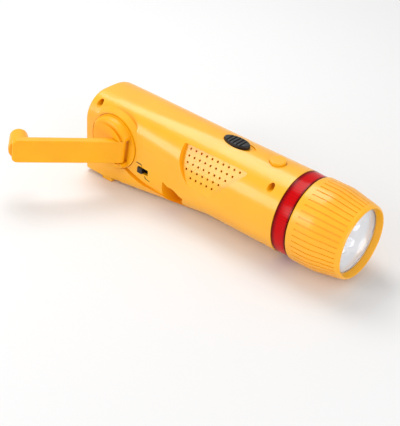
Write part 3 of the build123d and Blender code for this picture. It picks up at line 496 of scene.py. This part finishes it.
def led_cup(name, place):
    """The bright cup on its post, seen inside one clear lamp; its own z points to the lens."""
    bpy.ops.mesh.primitive_cylinder_add(
        vertices=CUP_SIDES,
        radius=CUP_RADIUS,
        depth=POST_LENGTH,
        location=place,
        rotation=(0, math.pi / 2, 0),
    )
    cup = bpy.context.object
    bpy.ops.object.mode_set(mode="EDIT")
    select_faces(cup, lambda normal: normal.z > FACING)
    bpy.ops.mesh.inset(thickness=CUP_RIM)
    bpy.ops.mesh.extrude_region_move(TRANSFORM_OT_translate={"value": (-CUP_DEPTH, 0, 0)})
    bpy.ops.transform.resize(value=(1, CUP_FLOOR, CUP_FLOOR))
    select_faces(cup, lambda normal: normal.z < -FACING)
    bpy.ops.transform.resize(value=(1, POST_FOOT, POST_FOOT))
    bpy.ops.object.mode_set(mode="OBJECT")
    apply_modifier(cup, "BEVEL", width=CUP_EDGE, segments=2)
    settle(cup, name, "housing", screw_steel)


led_dome_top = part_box("head_leds")[1].x
cup_level = led_dome_top - CUP_BELOW_DOME - POST_LENGTH / 2
for led_number in range(LED_COUNT):
    led_turn = math.radians(LED_FIRST_TURN + led_number * 360 / LED_COUNT)
    cup_y = LED_ORBIT * math.cos(led_turn)
    cup_z = LED_ORBIT * math.sin(led_turn)
    led_cup(f"led_cup_{led_number + 1}", (cup_level, cup_y, cup_z))

LEADER_WIDTH = 0.75 * MM
LEADER_HEIGHT = 0.06 * MM
LEADER_START_LEVEL = -34 * MM
LEADER_CUTS = 7
LEADER_END_SHARE = 0.4


def leader_line(name, first, bend, last):
    """A thin raised line on the crank side, bent once; its points are x and z in millimetres."""
    run = Vector((bend[0] - first[0], 0, bend[1] - first[1])) * MM
    hook = Vector((last[0] - bend[0], 0, last[1] - bend[1])) * MM
    middle = Vector((first[0] + bend[0], 0, first[1] + bend[1])) * MM / 2
    middle.y = LEADER_START_LEVEL
    turn = math.atan2(-run.z, run.x)

    # a strip in front of the wall, as long as the first run
    bpy.ops.mesh.primitive_plane_add(size=1, location=middle, rotation=(math.pi / 2, 0, 0))
    line = bpy.context.object
    line.scale = (run.length, LEADER_WIDTH, 1)
    bpy.ops.object.transform_apply(location=False, rotation=True, scale=True)
    line.rotation_euler = (0, turn, 0)
    bpy.ops.object.transform_apply(location=True, rotation=True, scale=True)

    # the hook grows from the strip's far edge
    bpy.ops.object.mode_set(mode="EDIT")
    bpy.ops.mesh.select_all(action="DESELECT")
    mesh = bmesh.from_edit_mesh(line.data)
    ahead = run.normalized()
    for edge in mesh.edges:
        along = [(corner.co - middle).dot(ahead) for corner in edge.verts]
        if min(along) > LEADER_END_SHARE * run.length:
            edge.select_set(True)
    bmesh.update_edit_mesh(line.data)
    bpy.ops.mesh.extrude_region_move(TRANSFORM_OT_translate={"value": tuple(hook)})
    bpy.ops.mesh.select_all(action="SELECT")
    bpy.ops.mesh.subdivide(number_cuts=LEADER_CUTS)
    bpy.ops.object.mode_set(mode="OBJECT")

    # laid on the wall, then given its thickness, half of it sunk
    apply_modifier(
        line,
        "SHRINKWRAP",
        target=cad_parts["crank_side_shell"],
        wrap_method="PROJECT",
        use_project_y=True,
        use_positive_direction=True,
        use_negative_direction=False,
    )
    apply_modifier(line, "SOLIDIFY", thickness=2 * LEADER_HEIGHT, offset=0)
    bpy.ops.object.mode_set(mode="EDIT")
    bpy.ops.mesh.select_all(action="SELECT")
    bpy.ops.mesh.normals_make_consistent(inside=False)
    bpy.ops.object.mode_set(mode="OBJECT")
    settle(line, name, "housing", marking_dark)


# both lines end on the wall, clear of the selector slot, so that every corner finds the surface
leader_line("selector_leader_upper", (44.1, -2.4), (48.5, -2.6), (49.0, -4.05))
leader_line("selector_leader_lower", (51.6, -9.9), (52.4, -11.3), (56.0, -11.9))

# ---------------------------------------------------------------- studio
FLOOR_GAP = 0.0002
FLOOR_SIZE = 6.0
FLOOR_TONE = 0.82
FLOOR_FADE_START = 0.3
FLOOR_FADE_END = 0.9
PAPER_WHITE = 1.0


def backdrop():
    """A pale floor under the torch that turns to plain white paper far from it."""
    place = (0, 0, cad_box[0].z - FLOOR_GAP)
    bpy.ops.mesh.primitive_plane_add(size=FLOOR_SIZE, location=place)
    floor = bpy.context.object
    floor.name = "studio_floor"
    finish = Finish("studio_floor", (FLOOR_TONE, FLOOR_TONE, FLOOR_TONE), roughness=0.9)
    finish.drift_gloss(low=0.85, spread=0.1, scale=0.002, detail=2.0)
    # the white paper is there for the camera alone
    reach = finish.node("ShaderNodeVectorMath", {"operation": "LENGTH"}, {0: finish.place}, "Value")
    camera_ray = finish.node("ShaderNodeLightPath", {}, {}, "Is Camera Ray")
    paper = finish.node("ShaderNodeEmission", {}, {"Strength": PAPER_WHITE})
    lit = Sock(finish, finish.shader.outputs["BSDF"])
    fade = reach.step(FLOOR_FADE_START, FLOOR_FADE_END) * camera_ray
    surface = finish.node("ShaderNodeMixShader", {}, {0: fade, 1: lit, 2: paper})
    finish.tree.links.new(surface.socket, finish.tree.nodes["Material Output"].inputs["Surface"])
    paint(floor, finish)
    bpy.ops.object.select_all(action="DESELECT")


backdrop()

LAMP_AIM = Vector((0.1, 0.0, 0.0))


def softbox(name, toward, distance, size, power):
    """A square area lamp, in watts, that looks at the torch from one direction."""
    data = bpy.data.lights.new(name, "AREA")
    data.shape = "SQUARE"
    data.size = size
    data.energy = power
    lamp = bpy.data.objects.new(name, data)
    bpy.context.collection.objects.link(lamp)
    direction = Vector(toward).normalized()
    lamp.location = LAMP_AIM + direction * distance
    lamp.rotation_mode = "QUATERNION"
    lamp.rotation_quaternion = direction.to_track_quat("Z", "Y")


softbox("top_softbox", toward=(-0.45, 0.2, 0.87), distance=0.75, size=0.42, power=2.7)
softbox("side_softbox", toward=(-0.52, -0.78, 0.4), distance=0.75, size=0.3, power=1.7)
softbox("lens_fill", toward=(0.95, -0.3, 0.3), distance=0.8, size=0.5, power=2.1)

# the world lights the torch softly, and is plain white to the camera and through the lens
SKY_LIGHT = 0.62
world = bpy.data.worlds.new("studio_world")
bpy.context.scene.world = world
world.use_nodes = True
sky = Bench(world.node_tree)
sky_camera_ray = sky.node("ShaderNodeLightPath", {}, {}, "Is Camera Ray")
sky_clear_ray = sky.node("ShaderNodeLightPath", {}, {}, "Is Transmission Ray")
sky_strength = sky.node(
    "ShaderNodeMapRange",
    {},
    {"Value": sky_camera_ray.larger(sky_clear_ray), "To Min": SKY_LIGHT, "To Max": PAPER_WHITE},
)
sky_paint = sky.tree.nodes["Background"]
sky_paint.inputs["Color"].default_value = (1, 1, 1, 1)
sky.tree.links.new(sky_strength.socket, sky_paint.inputs["Strength"])

# ---------------------------------------------------------------- camera
IMAGE_WIDTH = 400
IMAGE_HEIGHT = 426
FOCAL_PIXELS = 1000.0
CAMERA_PLACE = (0.417166, -0.425701, 0.329043)
AZIMUTH = math.radians(38.516)
ELEVATION = math.radians(33.947)
ROLL = math.radians(4.126)
SENSOR = 36.0
NEAREST = 0.05
FARTHEST = 20.0


def studio_camera():
    """The camera, turned by its azimuth and elevation and rolled about its own line of sight."""
    data = bpy.data.cameras.new("studio_camera")
    data.sensor_fit = "AUTO"
    data.sensor_width = SENSOR
    data.lens = FOCAL_PIXELS / max(IMAGE_WIDTH, IMAGE_HEIGHT) * SENSOR
    data.clip_start, data.clip_end = NEAREST, FARTHEST
    camera = bpy.data.objects.new("studio_camera", data)
    bpy.context.collection.objects.link(camera)
    back = Vector(
        (
            math.sin(AZIMUTH) * math.cos(ELEVATION),
            -math.cos(AZIMUTH) * math.cos(ELEVATION),
            math.sin(ELEVATION),
        )
    )
    level = Vector((0, 0, 1)).cross(back).normalized()
    rise = back.cross(level)
    right = math.cos(ROLL) * level + math.sin(ROLL) * rise
    up = math.cos(ROLL) * rise - math.sin(ROLL) * level
    camera.rotation_mode = "QUATERNION"
    camera.rotation_quaternion = Matrix((right, up, back)).transposed().to_quaternion()
    camera.location = CAMERA_PLACE
    bpy.context.scene.camera = camera


studio_camera()

view = bpy.context.scene.view_settings
view.view_transform = "Standard"
